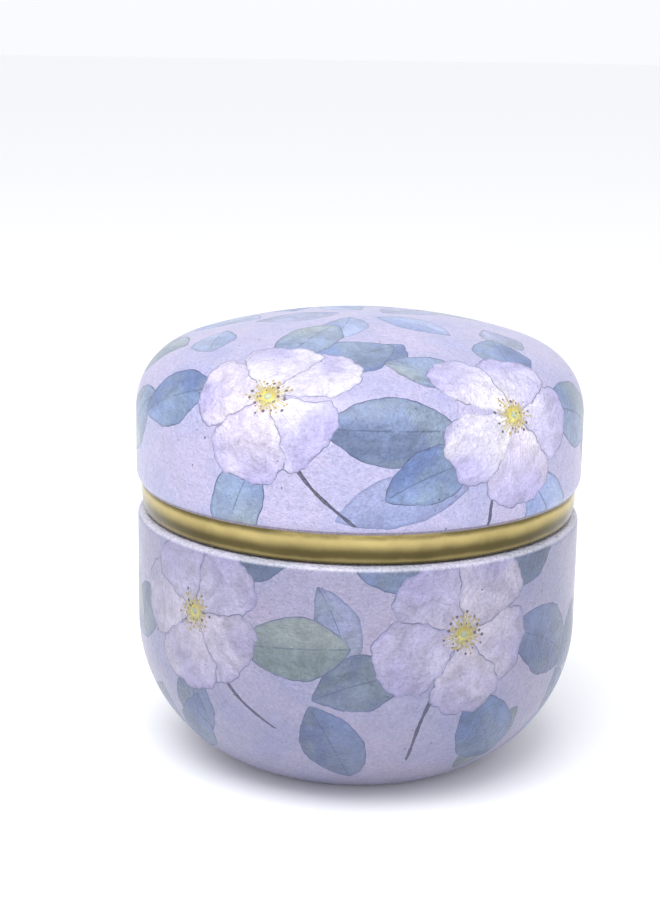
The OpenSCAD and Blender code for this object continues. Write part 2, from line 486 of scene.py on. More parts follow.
def wobble(t, seed, size):
    """A hand's unsteadiness along a stroke, about 1."""
    return (1 + size * np.sin(2 * np.pi * (1.3 * t + seed))
            + 0.6 * size * np.sin(2 * np.pi * (3.1 * t + 1.7 * seed))
            + 0.3 * size * np.sin(2 * np.pi * (7.3 * t + 2.9 * seed)))


def eased(count):
    """Shares from 0 to 1, closer together at both ends, where outlines turn."""
    return 0.5 - 0.5 * np.cos(np.linspace(0, np.pi, count))


def sideways(outline):
    """Unit vectors to the left of a closed outline's travel: inwards, if it runs anticlockwise."""
    along = np.roll(outline, -1, 0) - np.roll(outline, 1, 0)
    along /= np.maximum(np.hypot(*along.T), 1e-9)[:, None]
    return np.stack([-along[:, 1], along[:, 0]], -1)


def crinkled(outline, seed, depth):
    """The outline with the small uneven waves of a painted edge."""
    outline = resample(outline, OUTLINE_STEP, True)
    far = OUTLINE_STEP * np.arange(len(outline))
    turns = OUTLINE_STEP * len(outline)
    wave = sum(share * np.sin(2 * np.pi * (round(turns / pitch) * far / turns + k * seed))
               for k, (pitch, share) in enumerate(((5.2, 0.5), (2.9, 0.35), (1.7, 0.25)), 1))
    return outline + depth * wave[:, None] * sideways(outline)


def strip(spine, half_widths):
    """The outline of a stroke about its spine."""
    along = np.gradient(spine, axis=0)
    along /= np.hypot(*along.T)[:, None]
    out = np.stack([-along[:, 1], along[:, 0]], -1)
    left = spine + out * half_widths[:, None]
    right = spine - out * half_widths[:, None]
    return np.vstack([left, right[::-1][1:-1]])


class Drawing:
    """The shapes painted on one skin, in the order they are painted."""

    def __init__(self, chart, seed):
        self.chart = chart
        self.motifs = []
        self.dice = random.Random(seed)

    def add(self, kind, anchor, outline, *rest):
        """Keeps a shape unless the print's edge cuts too much of it away."""
        motif = Motif(self.chart, kind, anchor, outline, *rest)
        s = anchor[1] - motif.outline[:, 1]
        low = 0.0 if self.chart.has_pole else EDGE_MARGIN
        inside = np.mean((s > low) & (s < self.chart.length - EDGE_MARGIN))
        if inside > (0.99 if kind in (POLLEN, DOT) else 0.25):
            self.motifs.append(motif)

    def near(self, anchor, az, s):
        """Azimuth in degrees and length to mm about an anchor."""
        turn = (az - anchor[0] + 180) % 360 - 180
        return np.array([math.radians(turn) * float(self.chart.radius(s)), anchor[1] - s])

    def leaf(self, start, end, width, tints, bend, fat=1.0, ink=1.0, kind=LEAF):
        """A leaf from its foot to its tip, both (azimuth, length)."""
        turn = (end[0] - start[0] + 180) % 360 - 180
        anchor = (start[0] + turn / 2, (start[1] + end[1]) / 2)
        p0, p1 = self.near(anchor, *start), self.near(anchor, *end)
        across = np.array([-(p1 - p0)[1], (p1 - p0)[0]])
        mid = (p0 + p1) / 2 + bend * across
        t = eased(33)[:, None]
        spine = (1 - t) ** 2 * p0 + 2 * t * (1 - t) * mid + t * t * p1
        seed = self.dice.random()
        t = t[:, 0]
        half = width / 2 * np.sin(np.pi * t ** fat) ** 0.8 * wobble(t, seed, 0.03)
        outline = crinkled(strip(spine, half), seed, LEAF_CRINKLE)
        self.add(kind, anchor, outline, spine, width / 2, tints, ink, seed)

    def petal(self, anchor, angle, length, width, tints, notch, bend):
        """A petal out of a flower's middle. angle 0 points right and 90 up, in degrees."""
        seed = self.dice.random()
        t = eased(41)
        a = math.radians(angle)
        along = np.array([math.cos(a), math.sin(a)])
        out = np.array([-along[1], along[0]])
        spine = (t * length)[:, None] * along + (bend * length * t * t)[:, None] * out
        half = width / 2 * np.sin(np.pi * np.clip(t, 0, 1) ** 1.7) ** 0.62
        half *= wobble(t, seed, 0.05)
        outline = strip(spine, half)
        reach = outline @ along / length
        side = outline @ out / (width / 2)
        dip = notch * length * np.exp(-(side / 0.28) ** 2) * np.clip(reach, 0, 1) ** 6
        outline -= dip[:, None] * along
        outline = crinkled(outline, seed, PETAL_CRINKLE)
        self.add(PETAL, anchor, outline, spine, width / 2, tints, PETAL_INK, seed)

    def stem(self, route, width, tints):
        """A stalk through several (azimuth, length) points."""
        anchor = route[len(route) // 2]
        knots = np.array([self.near(anchor, *p) for p in route])
        spine = smooth_line(knots, 0.6)
        t = np.linspace(0, 1, len(spine))
        seed = self.dice.random()
        half = width / 2 * (1 - STEM_TAPER * t) * wobble(t * len(t) / 12, seed, 0.16)
        self.add(STEM, anchor, strip(spine, half), spine, width / 2, tints, 1.0, seed)

    def blob(self, kind, anchor, offset, size, tints, spikes=0, depth=0.12):
        """A round mark, or a spiky one, offset (x, y) mm from its anchor."""
        seed = self.dice.random()
        count = 4 * spikes or 12
        a = np.arange(count) * 2 * np.pi / count
        reach = np.array([1 - depth * self.dice.random() for _ in a])
        if spikes:
            reach[1::2] *= 0.88
            reach[2::4] *= 0.74
        ring_points = size * reach[:, None] * np.stack([np.cos(a), np.sin(a)], -1)
        spine = np.array([[-0.5 * size, 0], [0.5 * size, 0]])
        self.add(kind, anchor, ring_points + offset, spine + offset, size, tints, 0.0, seed)

    def blossom(self, anchor, petals, tints):
        """Petals, each (angle, length, width), and the yellow middle."""
        for n, (angle, length, width) in enumerate(petals):
            self.petal(anchor, angle, length, width, tints[n % len(tints)],
                       notch=0.03 + 0.05 * self.dice.random(),
                       bend=0.10 * (self.dice.random() - 0.5))
        self.blob(POLLEN, anchor, (0.0, 0.0), 0.88 * HEART, POLLEN_TINTS, spikes=13, depth=0.3)
        for n in range(STAMENS):
            a = 2 * math.pi * (n + 0.8 * self.dice.random()) / STAMENS
            far = HEART * (0.8 + 0.75 * self.dice.random())
            tip = far * np.array([math.cos(a), math.sin(a)])
            spine = np.linspace(0.35, 1.0, 6)[:, None] * tip
            self.add(POLLEN, anchor, strip(spine, np.full(6, 0.09)), spine, 0.09, POLLEN_TINTS,
                     0.0, self.dice.random())
            size = 0.20 + 0.16 * self.dice.random()
            self.blob(DOT, anchor, tip, size, ANTHER_TINTS if n % 3 else DOT_TINTS)
            if n % 2:
                close = 0.58 * tip + 0.3 * np.array([-math.sin(a), math.cos(a)])
                self.blob(DOT, anchor, close, size, ANTHER_TINTS if n % 4 == 1 else DOT_TINTS)
        self.blob(POLLEN, anchor, (0.0, 0.0), 0.28 * HEART, EYE_TINTS)


def smooth_line(knots, step):
    """A Catmull-Rom curve through the knots, with points about step apart."""
    p = np.vstack([2 * knots[0] - knots[1], knots, 2 * knots[-1] - knots[-2]])
    out = []
    for i in range(1, len(p) - 2):
        for t in np.linspace(0, 1, 12, endpoint=False):
            out.append(0.5 * (2 * p[i] + (p[i + 1] - p[i - 1]) * t
                              + (2 * p[i - 1] - 5 * p[i] + 4 * p[i + 1] - p[i + 2]) * t ** 2
                              + (3 * p[i] - p[i - 1] - 3 * p[i + 1] + p[i + 2]) * t ** 3))
    out.append(knots[-1])
    return resample(np.array(out), step, False)


def row_step(part):
    """Spacing in mm of the print's rows of points along a part of its section."""
    if part[0] == "arc" and part[4] < TIGHT_R:
        return BEND_GRAIN
    return GRAIN * (0.75 if part[0] == "arc" and part[4] < BROAD_R else 1)


def painted_corners(triangles, top, drawing, az, s):
    """Tint, shape and brush values for the corners of triangles. top is the shape each shows."""
    layers = [np.tile(np.array(bare), (len(triangles), 3, 1))
              for bare in (GROUND, NO_SHAPE, NO_BRUSH)]
    for n, motif in enumerate(drawing.motifs):
        mine = np.nonzero(top == n)[0]
        if len(mine):
            used, back = np.unique(triangles[mine], return_inverse=True)
            for layer, value in zip(layers, motif.paint(az[used], s[used])):
                layer[mine] = value[back.reshape(-1)].reshape(len(mine), 3, -1)
    return layers


def lay_print(skin, chart, drawing, slot):
    """Triangles of a printed face, cut along every painted outline. Returns its end rings."""
    section = chart.section
    points, edges, faces = [], [], []

    def ring_of(s, count, stagger=0.0):
        start = len(points)
        az = (np.arange(count) + stagger) * 2 * np.pi / count
        points.extend(chart.flat(az, np.full(count, s)).tolist())
        return list(range(start, start + count))

    def tie(ring_points):
        edges.extend(zip(ring_points, ring_points[1:] + ring_points[:1]))

    inner = [] if chart.has_pole else ring_of(0.0, COLUMNS)
    outer = ring_of(chart.length, COLUMNS)
    tie(outer)
    if inner:
        faces.append(inner)
    else:
        points.append([0.0, 0.0])
    row = 0
    for part in section.parts:
        step = row_step(part)
        count = max(2, math.ceil(part[2] / step))
        for i in range(1, count + 1):
            s = part[1] + part[2] * i / count
            if s > chart.length - 1e-6:
                break
            row += 1
            if step == BEND_GRAIN:
                tie(ring_of(s, COLUMNS))
            else:
                around = 2 * math.pi * float(chart.radius(s))
                ring_of(s, max(6, round(around / GRAIN)), 0.5 * (row % 2))
    hole = len(faces)
    for n, motif in enumerate(drawing.motifs):
        margin = 0.03 + 0.004 * (n % 9)
        loop = chart.flat(*motif.on_chart(motif.outline, margin))
        start = len(points)
        points.extend(loop.tolist())
        faces.append(list(range(start, start + len(loop))))
        inside = motif.outline + RIM_DEPTH * sideways(motif.outline)
        inside = inside[motif.measure(inside)[2] > 0.8 * RIM_DEPTH]
        if len(inside):
            points.extend(chart.flat(*motif.on_chart(inside, 0.1 + margin)).tolist())
        if motif.kind == STEM:
            points.extend(chart.flat(*motif.on_chart(motif.spine, 0.1 + margin)).tolist())

    made = delaunay_2d_cdt([Vector(p) for p in points], edges, faces, 0, 1e-6, True)
    flat, triangles, came_from, sources = made[0], made[2], made[3], made[5]
    az, s = chart.unflat(np.array([list(p) for p in flat]))
    on_ring = {}
    ends = {}
    for name, ring_points, length in (("inner", inner, 0.0), ("outer", outer, chart.length)):
        if ring_points:
            ends[name] = skin.ring(*section.at(length)[:2])
            on_ring.update({p: (ends[name][i], TURN * i, length)
                            for i, p in enumerate(ring_points)})
    where = []
    for n, olds in enumerate(came_from):
        known = next((on_ring[o] for o in olds if o in on_ring), None)
        if known:
            az[n], s[n] = known[1], known[2]
            where.append(known[0])
        else:
            where.append(-1)
    values = [section.at(v) for v in s]
    for n, index in enumerate(where):
        if index < 0:
            where[n] = len(skin.points)
            skin.points.append(spot(az[n], values[n][0], values[n][1]))
    normals = [spot(az[n], v[2], v[3]) for n, v in enumerate(values)]

    kept, top = [], []
    for corners, source in zip(triangles, sources):
        if inner and 0 in source:
            continue
        kept.append(corners)
        top.append(max(source) - hole if source else -1)
    kept, top = np.array(kept), np.array(top)
    tint, shape, brush = painted_corners(kept, top, drawing, az, s)
    for i, corners in enumerate(kept.tolist()):
        print_values = [(tint[i, k], shape[i, k], brush[i, k]) for k in range(3)]
        skin.face(tuple(where[c] for c in corners), [normals[c] for c in corners], slot,
                  print_values)
    return ends


# Pigments: each shape is washed from its foot to its tip, and towards a third on one side
POLLEN_TINTS = (rgb(224, 206, 84), rgb(214, 190, 70), rgb(236, 222, 120))
ANTHER_TINTS = (rgb(206, 176, 60), rgb(190, 154, 54), rgb(226, 200, 90))
EYE_TINTS = (rgb(206, 216, 168), rgb(214, 220, 180), rgb(190, 204, 150))
DOT_TINTS = (rgb(104, 82, 58), rgb(86, 70, 62), rgb(120, 96, 62))
WHITE_PETAL = (rgb(242, 238, 242), rgb(198, 192, 228), rgb(224, 219, 238))
LILAC_PETAL = (rgb(234, 229, 241), rgb(184, 180, 224), rgb(204, 199, 232))
ROSE_PETAL = (rgb(240, 233, 238), rgb(200, 190, 222), rgb(214, 205, 230))
BLUE_LEAF = (rgb(106, 131, 182), rgb(134, 155, 198), rgb(95, 119, 172))
TWO_TONE_LEAF = (rgb(110, 134, 184), rgb(160, 173, 180), rgb(134, 153, 190))
PALE_LEAF = (rgb(148, 166, 212), rgb(170, 182, 222), rgb(138, 156, 206))
STEEL_LEAF = (rgb(114, 132, 170), rgb(132, 148, 184), rgb(96, 114, 152))
SLATE_LEAF = (rgb(118, 138, 190), rgb(128, 142, 182), rgb(98, 116, 164))
GREY_LEAF = (rgb(138, 152, 176), rgb(156, 168, 182), rgb(124, 142, 168))
MOSS_LEAF = (rgb(140, 154, 162), rgb(156, 168, 172), rgb(122, 140, 150))
FADED = (rgb(152, 160, 202), rgb(164, 168, 208), rgb(144, 154, 198))
MIST_PETAL = (rgb(222, 214, 232), rgb(194, 188, 222), rgb(208, 201, 228))
DUSK_PETAL = (rgb(210, 204, 232), rgb(184, 180, 222), rgb(196, 190, 226))
DARK_STEM = (rgb(46, 43, 50), rgb(54, 50, 58), rgb(72, 67, 72))


def sprig(art, middle, turn, size, leaf_tints, petal_tints, stalk):
    """A blossom with leaves behind it, turned about its middle. stalk is how far it hangs on."""
    az, s = middle
    around = math.degrees(1 / float(art.chart.radius(s)))

    def at(angle, reach):
        a = math.radians(turn + angle)
        return az + around * reach * size * math.cos(a), s - reach * size * math.sin(a)

    leaves = ((18, 10, 4, 31, 12.5), (70, 9, 62, 28, 11.0), (-58, 10, -40, 31, 12.0),
              (150, 11, 166, 28, 10.5), (-118, 10, -132, 28, 10.0))
    for n, (from_angle, near, to_angle, far, width) in enumerate(leaves):
        art.leaf(at(from_angle, near), at(to_angle, far), width * size,
                 leaf_tints[n % len(leaf_tints)], bend=0.12 - 0.06 * n, fat=0.95 + 0.1 * (n % 3))
    art.stem([at(-95, 8), at(-90, 8 + stalk / 2), at(-84, 8 + stalk)], 0.75 * size, DARK_STEM)
    petals = [(turn + 72 * n + 14 * art.dice.random(), size * (14 + 3 * art.dice.random()),
               size * (13 + 2.5 * art.dice.random())) for n in (0, 2, 4, 1, 3)]
    art.blossom((az, s), petals, petal_tints)


lid_chart = Chart(lid_out, 1.0)
lid_art = Drawing(lid_chart, 11)
# A whorl of pale leaves on the crown
for n in range(5):
    foot = 40 + 72 * n
    lid_art.leaf((foot, 4), (foot + 14, 19), 8.0, (PALE_LEAF, FADED)[n % 2], bend=0.1, ink=0.5)
# Front
lid_art.leaf((-60, 30), (-82, 24), 8.0, PALE_LEAF, bend=0.10, ink=0.7)
lid_art.leaf((-64, 42), (-84, 55), 9.5, TWO_TONE_LEAF, bend=-0.12)
lid_art.leaf((4, 28), (20, 20), 7.5, BLUE_LEAF, bend=0.12)
lid_art.leaf((70, 30), (86, 22), 8.0, FADED, bend=0.10, ink=0.5)
lid_art.leaf((74, 46), (88, 58), 8.5, STEEL_LEAF, bend=0.10)
lid_art.leaf((-6, 58), (26, 53), 9.0, FADED, bend=0.10, ink=0.3, kind=WASH)
sprig(lid_art, (-25, 38), 30, 1.0, (BLUE_LEAF, TWO_TONE_LEAF, STEEL_LEAF),
      (WHITE_PETAL, ROSE_PETAL, LILAC_PETAL), 18)
sprig(lid_art, (40, 42), -20, 0.95, (TWO_TONE_LEAF, BLUE_LEAF, PALE_LEAF),
      (LILAC_PETAL, WHITE_PETAL, ROSE_PETAL), 16)
# Round the back
lid_art.leaf((150, 12), (196, 25), 9.0, PALE_LEAF, bend=0.1)
lid_art.leaf((-120, 14), (-146, 27), 7.5, BLUE_LEAF, bend=-0.12)
sprig(lid_art, (128, 40), 20, 0.95, (BLUE_LEAF, TWO_TONE_LEAF, STEEL_LEAF),
      (WHITE_PETAL, LILAC_PETAL, ROSE_PETAL), 9)
sprig(lid_art, (188, 36), -35, 1.0, (TWO_TONE_LEAF, PALE_LEAF, BLUE_LEAF),
      (ROSE_PETAL, WHITE_PETAL, LILAC_PETAL), 12)
sprig(lid_art, (-112, 43), 65, 0.85, (PALE_LEAF, BLUE_LEAF, GREY_LEAF),
      (LILAC_PETAL, WHITE_PETAL, WHITE_PETAL), 8)

body_chart = Chart(body_out, 38.0)
body_art = Drawing(body_chart, 23)
# Front
body_art.leaf((-12, 26), (-2, 44), 11.0, SLATE_LEAF, bend=0.10)
body_art.leaf((-62, 30), (-78, 43), 9.0, STEEL_LEAF, bend=0.10)
body_art.leaf((46, 30), (34, 45), 9.5, MOSS_LEAF, bend=-0.10)
body_art.leaf((62, 26), (72, 42), 9.0, BLUE_LEAF, bend=0.12)
body_art.leaf((-10, 5), (-2, 20), 7.5, FADED, bend=0.10, ink=0.4)
sprig(body_art, (26, 14), -25, 1.0, (SLATE_LEAF, STEEL_LEAF, BLUE_LEAF),
      (MIST_PETAL, DUSK_PETAL, MIST_PETAL), 18)
sprig(body_art, (-44, 13), 35, 0.95, (STEEL_LEAF, SLATE_LEAF, MOSS_LEAF),
      (DUSK_PETAL, MIST_PETAL, MIST_PETAL), 18)
# Sides and back
body_art.leaf((-44, 28), (-62, 45), 8.0, BLUE_LEAF, bend=0.1)
body_art.leaf((-100, 32), (-84, 46), 8.0, STEEL_LEAF, bend=-0.12)
body_art.leaf((70, 32), (52, 45), 8.0, PALE_LEAF, bend=0.1)
body_art.leaf((150, 30), (168, 46), 8.5, TWO_TONE_LEAF, bend=0.12)
body_art.leaf((-152, 30), (-166, 44), 8.0, BLUE_LEAF, bend=-0.1)
sprig(body_art, (98, 15), 40, 0.95, (STEEL_LEAF, TWO_TONE_LEAF, SLATE_LEAF),
      (DUSK_PETAL, MIST_PETAL, MIST_PETAL), 11)
sprig(body_art, (-110, 13), -20, 0.9, (TWO_TONE_LEAF, BLUE_LEAF, MOSS_LEAF),
      (MIST_PETAL, DUSK_PETAL, MIST_PETAL), 12)
sprig(body_art, (172, 11), 10, 1.05, (SLATE_LEAF, STEEL_LEAF, PALE_LEAF),
      (MIST_PETAL, MIST_PETAL, DUSK_PETAL), 14)


# ---------------------------------------------------------------- materials

class Nodes:
    """A material's node tree, with short ways to add and link nodes."""

    def __init__(self, name):
        self.material = bpy.data.materials.new(name)
        self.material.use_nodes = True
        self.tree = self.material.node_tree
        self.tree.nodes.clear()
        self.out = self.tree.nodes.new("ShaderNodeOutputMaterial")
        self.surface = self.tree.nodes.new("ShaderNodeBsdfPrincipled")
        self.tree.links.new(self.surface.outputs["BSDF"], self.out.inputs["Surface"])
        self.spot = self.tree.nodes.new("ShaderNodeTexCoord").outputs["Object"]

    def put(self, socket, value):
        if isinstance(value, bpy.types.NodeSocket):
            self.tree.links.new(value, socket)
        else:
            socket.default_value = value

    def math(self, operation, a, b=0.0, c=0.0):
        node = self.tree.nodes.new("ShaderNodeMath")
        node.operation = operation
        for socket, value in zip(node.inputs, (a, b, c)):
            self.put(socket, value)
        return node.outputs[0]

    def ramp(self, value, low, high, to_low=0.0, to_high=1.0, smooth=True):
        node = self.tree.nodes.new("ShaderNodeMapRange")
        node.interpolation_type = "SMOOTHSTEP" if smooth else "LINEAR"
        for socket, given in zip(node.inputs, (value, low, high, to_low, to_high)):
            self.put(socket, given)
        return node.outputs[0]

    def noise(self, size, detail=2.0, roughness=0.5, distortion=0.0, where=None):
        """Noise with features about size mm across."""
        node = self.tree.nodes.new("ShaderNodeTexNoise")
        self.put(node.inputs["Vector"], where or self.spot)
        node.inputs["Scale"].default_value = 1 / (size * MM)
        node.inputs["Detail"].default_value = detail
        node.inputs["Roughness"].default_value = roughness
        node.inputs["Distortion"].default_value = distortion
        return node.outputs["Fac"]

    def shifted(self, by):
        """The position moved by a value, so that shapes don't share their mottling."""
        node = self.tree.nodes.new("ShaderNodeVectorMath")
        node.operation = "ADD"
        self.put(node.inputs[0], self.spot)
        self.put(node.inputs[1], by)
        return node.outputs[0]

    def mix(self, factor, a, b):
        node = self.tree.nodes.new("ShaderNodeMix")
        node.data_type = "RGBA"
        self.put(node.inputs["Factor"], factor)
        self.put(node.inputs[6], a)
        self.put(node.inputs[7], b)
        return node.outputs[2]

    def scaled(self, colour, level):
        node = self.tree.nodes.new("ShaderNodeVectorMath")
        node.operation = "SCALE"
        self.put(node.inputs[0], colour)
        self.put(node.inputs["Scale"], level)
        return node.outputs[0]

    def attribute(self, name):
        node = self.tree.nodes.new("ShaderNodeAttribute")
        node.attribute_name = name
        return node

    def split(self, vector):
        node = self.tree.nodes.new("ShaderNodeSeparateXYZ")
        self.put(node.inputs[0], vector)
        return node.outputs

    def bump(self, height, strength, distance_mm):
        node = self.tree.nodes.new("ShaderNodeBump")
        node.inputs["Strength"].default_value = strength
        node.inputs["Distance"].default_value = distance_mm * MM
        self.put(node.inputs["Height"], height)
        self.put(self.surface.inputs["Normal"], node.outputs[0])


def printed_tin(name, level, edge_height, edge_reach, edge_wear_and_light_colour, edge_wear_and_light):
    """Watercolour drawing printed on lacquered tinplate, from the skin's own values. level is
    how light its inks are; on the body a lower level stands for painted shade. Within
    edge_reach of edge_height, both mm, the print is rubbed through and painted with light by
    the share edge_wear_and_light, to edge_wear_and_light_colour: a painted highlight where
    that colour is pale, painted shade where it is dark."""
    n = Nodes(name)
    tint = n.attribute("tint").outputs["Color"]
    u, v, edge = n.split(n.attribute("shape").outputs["Vector"])
    kind, seed, ink = n.split(n.attribute("brush").outputs["Vector"])
    own = n.shifted(n.math("MULTIPLY", seed, 3.0))
    painted = n.ramp(kind, 0.4, 0.6, smooth=False)
    is_leaf = n.math("COMPARE", kind, float(LEAF), 0.3)
    is_petal = n.math("COMPARE", kind, float(PETAL), 0.3)
    is_stem = n.math("COMPARE", kind, float(STEM), 0.3)

    # Washes: broad pools, then smaller ones, then pigment settled in the paper's grain
    broad = n.noise(11, 3, 0.55, 0.4)
    pools = n.noise(4.5, 4, 0.6, 1.2, own)
    grain = n.noise(0.55, 4, 0.65)
    rose = n.mix(n.ramp(broad, 0.46, 0.66, 0, 0.38), tint, (*rgb(202, 186, 216), 1))
    cool = n.mix(n.ramp(broad, 0.49, 0.32, 0, 0.50), rose, (*rgb(160, 164, 214), 1))
    ground = n.mix(painted, cool, tint)
    # Petals are washed with lilac from their rim inwards, leaves with grey-green in places
    veil = n.noise(9, 1, 0.5, 0.2, own)
    shade = n.math("MULTIPLY", n.ramp(veil, 0.36, 0.60), n.ramp(u, 0.25, 0.95, 0.10, 0.85))
    ground = n.mix(n.math("MULTIPLY", shade, is_petal), ground, (*rgb(178, 172, 220), 1))
    moss = n.ramp(n.noise(7.5, 2, 0.5, 0.6, own), 0.46, 0.62, 0, 0.34)
    ground = n.mix(n.math("MULTIPLY", moss, is_leaf), ground, (*rgb(140, 156, 160), 1))
    wash = n.ramp(pools, 0.25, 0.75, 0.76, 1.20)
    bare_wash = n.ramp(pools, 0.25, 0.75, 0.94, 1.05)
    strength = n.math("MULTIPLY_ADD", painted, n.math("SUBTRACT", wash, bare_wash), bare_wash)
    # level darkens the inks; the body's lower level is painted shade
    settle = n.ramp(grain, 0.3, 0.7, 0.89 * level, 1.08 * level)
    tone = n.math("MULTIPLY", strength, settle)
    blot = n.ramp(n.noise(0.5, 3, 0.7), 0.47, 0.58)
    blot = n.math("MULTIPLY", n.math("MULTIPLY", is_stem, ink), blot)
    tone = n.math("MULTIPLY_ADD", blot, 1.3, tone)
    colour = n.scaled(ground, tone)

    # Pigment gathers at the rim of a wash, under a broken ink line
    rim = n.math("MULTIPLY", n.ramp(edge, 0.75, 0.0, 0, 0.36), painted)
    rim = n.math("MULTIPLY", rim, n.ramp(pools, 0.3, 0.6, 0.4, 1.0))
    colour = n.mix(rim, colour, (*rgb(70, 84, 138), 1))
    hand = n.noise(2.2, 2, 0.5)
    breaks = n.ramp(n.noise(3.4, 2, 0.6), 0.36, 0.48, 0.12, 1)
    width = n.ramp(hand, 0.3, 0.7, 0.06, 0.24, smooth=False)
    line = n.ramp(n.math("SUBTRACT", edge, width), 0.05, -0.03)
    line = n.math("MULTIPLY", n.math("MULTIPLY", line, breaks), ink)
    line = n.math("MULTIPLY", line, painted)
    colour = n.mix(n.math("MULTIPLY", line, 0.78), colour, (*rgb(58, 64, 96), 1))

    # A leaf's midrib and side veins
    off = n.math("ABSOLUTE", v)
    rib = n.ramp(off, 0.034, 0.012)
    rib = n.math("MULTIPLY", rib, n.ramp(hand, 0.38, 0.50, 0.15, 1))
    fan = n.math("SUBTRACT", n.math("MULTIPLY", u, 7.0), n.math("MULTIPLY", off, 1.3))
    fan = n.math("PINGPONG", fan, 0.5)
    side_vein = n.math("MULTIPLY", n.ramp(fan, 0.05, 0.0), n.ramp(hand, 0.5, 0.66, 0, 0.3))
    veins = n.math("MULTIPLY", n.math("MAXIMUM", rib, side_vein), is_leaf)
    colour = n.mix(n.math("MULTIPLY", veins, 0.6), colour, (*rgb(58, 72, 106), 1))
    # Thin streaks along a petal
    streak = n.math("PINGPONG", n.math("MULTIPLY", v, 3.2), 0.5)
    streak = n.math("MULTIPLY", n.ramp(streak, 0.07, 0.0), n.ramp(pools, 0.42, 0.62, 0, 0.45))
    streak = n.math("MULTIPLY", streak, n.math("MULTIPLY", is_petal, n.ramp(u, 1.0, 0.3)))
    colour = n.mix(streak, colour, (*rgb(140, 140, 196), 1))

    # Rare specks of ink
    specks = n.ramp(n.noise(1.1, 1, 0.4), 0.775, 0.795)
    colour = n.mix(n.math("MULTIPLY", specks, 0.8), colour, (*rgb(60, 66, 96), 1))
    # The print is stretched thin and rubbed along its exposed edge, and the same band carries
    # painted light: a painted highlight on the body's shoulder, painted shade at the lid's lip
    away = n.math("ABSOLUTE", n.math("SUBTRACT", n.split(n.spot)[2], edge_height * MM))
    edge_wear_and_light_mask = n.ramp(away, edge_reach * MM, 0.4 * edge_reach * MM)
    edge_wear_and_light_mask = n.math("MULTIPLY", edge_wear_and_light_mask, n.ramp(grain, 0.35, 0.62, 0.7 * edge_wear_and_light, edge_wear_and_light))
    colour = n.mix(edge_wear_and_light_mask, colour, (*rgb(*edge_wear_and_light_colour), 1))
    n.put(n.surface.inputs["Base Color"], colour)

    rough = n.ramp(n.noise(7, 4, 0.6), 0.3, 0.7, 0.34, 0.46)
    n.put(n.surface.inputs["Roughness"], rough)
    n.surface.inputs["Coat Weight"].default_value = 0.5
    n.surface.inputs["Coat Roughness"].default_value = 0.2
    n.surface.inputs["IOR"].default_value = 1.5
    relief = n.math("MULTIPLY_ADD", n.noise(0.35, 2, 0.55), 0.4, n.noise(0.9, 3, 0.6))
    n.bump(relief, 1.0, 0.85)
    return n.material


# Heights between which the ring's colour is darkened below the bead's bulge, a painted dark
# reflection of the surroundings under it, and between which that painted dark eases off at the fold
REFLECTION_DARK_TOP = (BEAD_C[1] + 1.5) * MM
REFLECTION_DARK_LOW = (BEAD_C[1] - 0.9) * MM
FOLD_TOP = (FOLD_C[1] + 0.9) * MM
FOLD_LOW = (FOLD_C[1] + 0.2) * MM
# Heights between which it is darkened again going up to the lid's lip, a painted shadow under the
# lip, and where that painted shadow ends on the neck
LIP_SHADOW_LOW = (BEAD_C[1] + 1.3) * MM
LIP_SHADOW_TOP = (BEAD_C[1] + 2.2) * MM
LIP_SHADOW_END = (BEAD_C[1] + 3.4) * MM


def gold(name, colour, low, high, lines=0.0, painted_shade=0.0):
    """Gold-lacquered tinplate. lines is how strongly the roll marks show, and painted_shade is how
    much the colour is darkened as painted shade: a painted dark reflection below the bead's
    bulge, down to the fold, and a painted shadow under the lid's lip."""
    n = Nodes(name)
    z = n.split(n.spot)[2]
    clouds = n.noise(9, 3, 0.5)
    deep = tuple(c * 0.80 for c in rgb(*colour))
    base = n.mix(n.ramp(clouds, 0.3, 0.7), (*deep, 1), (*rgb(*colour), 1))
    uneven = n.math("MULTIPLY_ADD", n.noise(5, 3, 0.6), 0.8 * MM, z)
    # A painted dark reflection: the gold is darkened below the bead's bulge, less so at the fold
    dark_reflection = n.math("MULTIPLY", n.ramp(uneven, REFLECTION_DARK_TOP, REFLECTION_DARK_LOW),
                      n.ramp(uneven, FOLD_LOW, FOLD_TOP, 0.72, 1))
    # A painted shadow: the gold is darkened just under the lid's lip
    lip_shadow = n.math("MULTIPLY", n.ramp(uneven, LIP_SHADOW_LOW, LIP_SHADOW_TOP, 0, 0.8),
                  n.ramp(uneven, LIP_SHADOW_END, LIP_SHADOW_TOP))
    depth = n.math("MAXIMUM", dark_reflection, lip_shadow)
    # Painted shade: the colour is scaled down by both painted darks
    base = n.scaled(base, n.math("MULTIPLY_ADD", depth, -painted_shade, 1.0))
    n.put(n.surface.inputs["Base Color"], base)
    n.surface.inputs["Metallic"].default_value = 1.0
    height = n.tree.nodes.new("ShaderNodeCombineXYZ")
    n.put(height.inputs[2], z)
    marks = n.noise(0.22, 2, 0.6, where=height.outputs[0])
    smear = n.noise(3.0, 4, 0.65)
    rough = n.math("ADD", n.ramp(smear, 0.3, 0.7, low, high),
                   n.ramp(marks, 0.4, 0.7, 0, 0.05))
    n.put(n.surface.inputs["Roughness"], rough)
    relief = n.math("MULTIPLY_ADD", marks, lines, n.math("MULTIPLY", n.noise(0.6, 3, 0.5), 0.5))
    n.bump(relief, 0.12, 0.03)
    return n.material


# The lid's lip edge is darkened: rubbed print and painted shade of the gap under the lip
lid_finish = printed_tin("printed_lid_tin", 0.94, LIP_ROUND_C[1], 0.42, (104, 92, 104), 0.85)
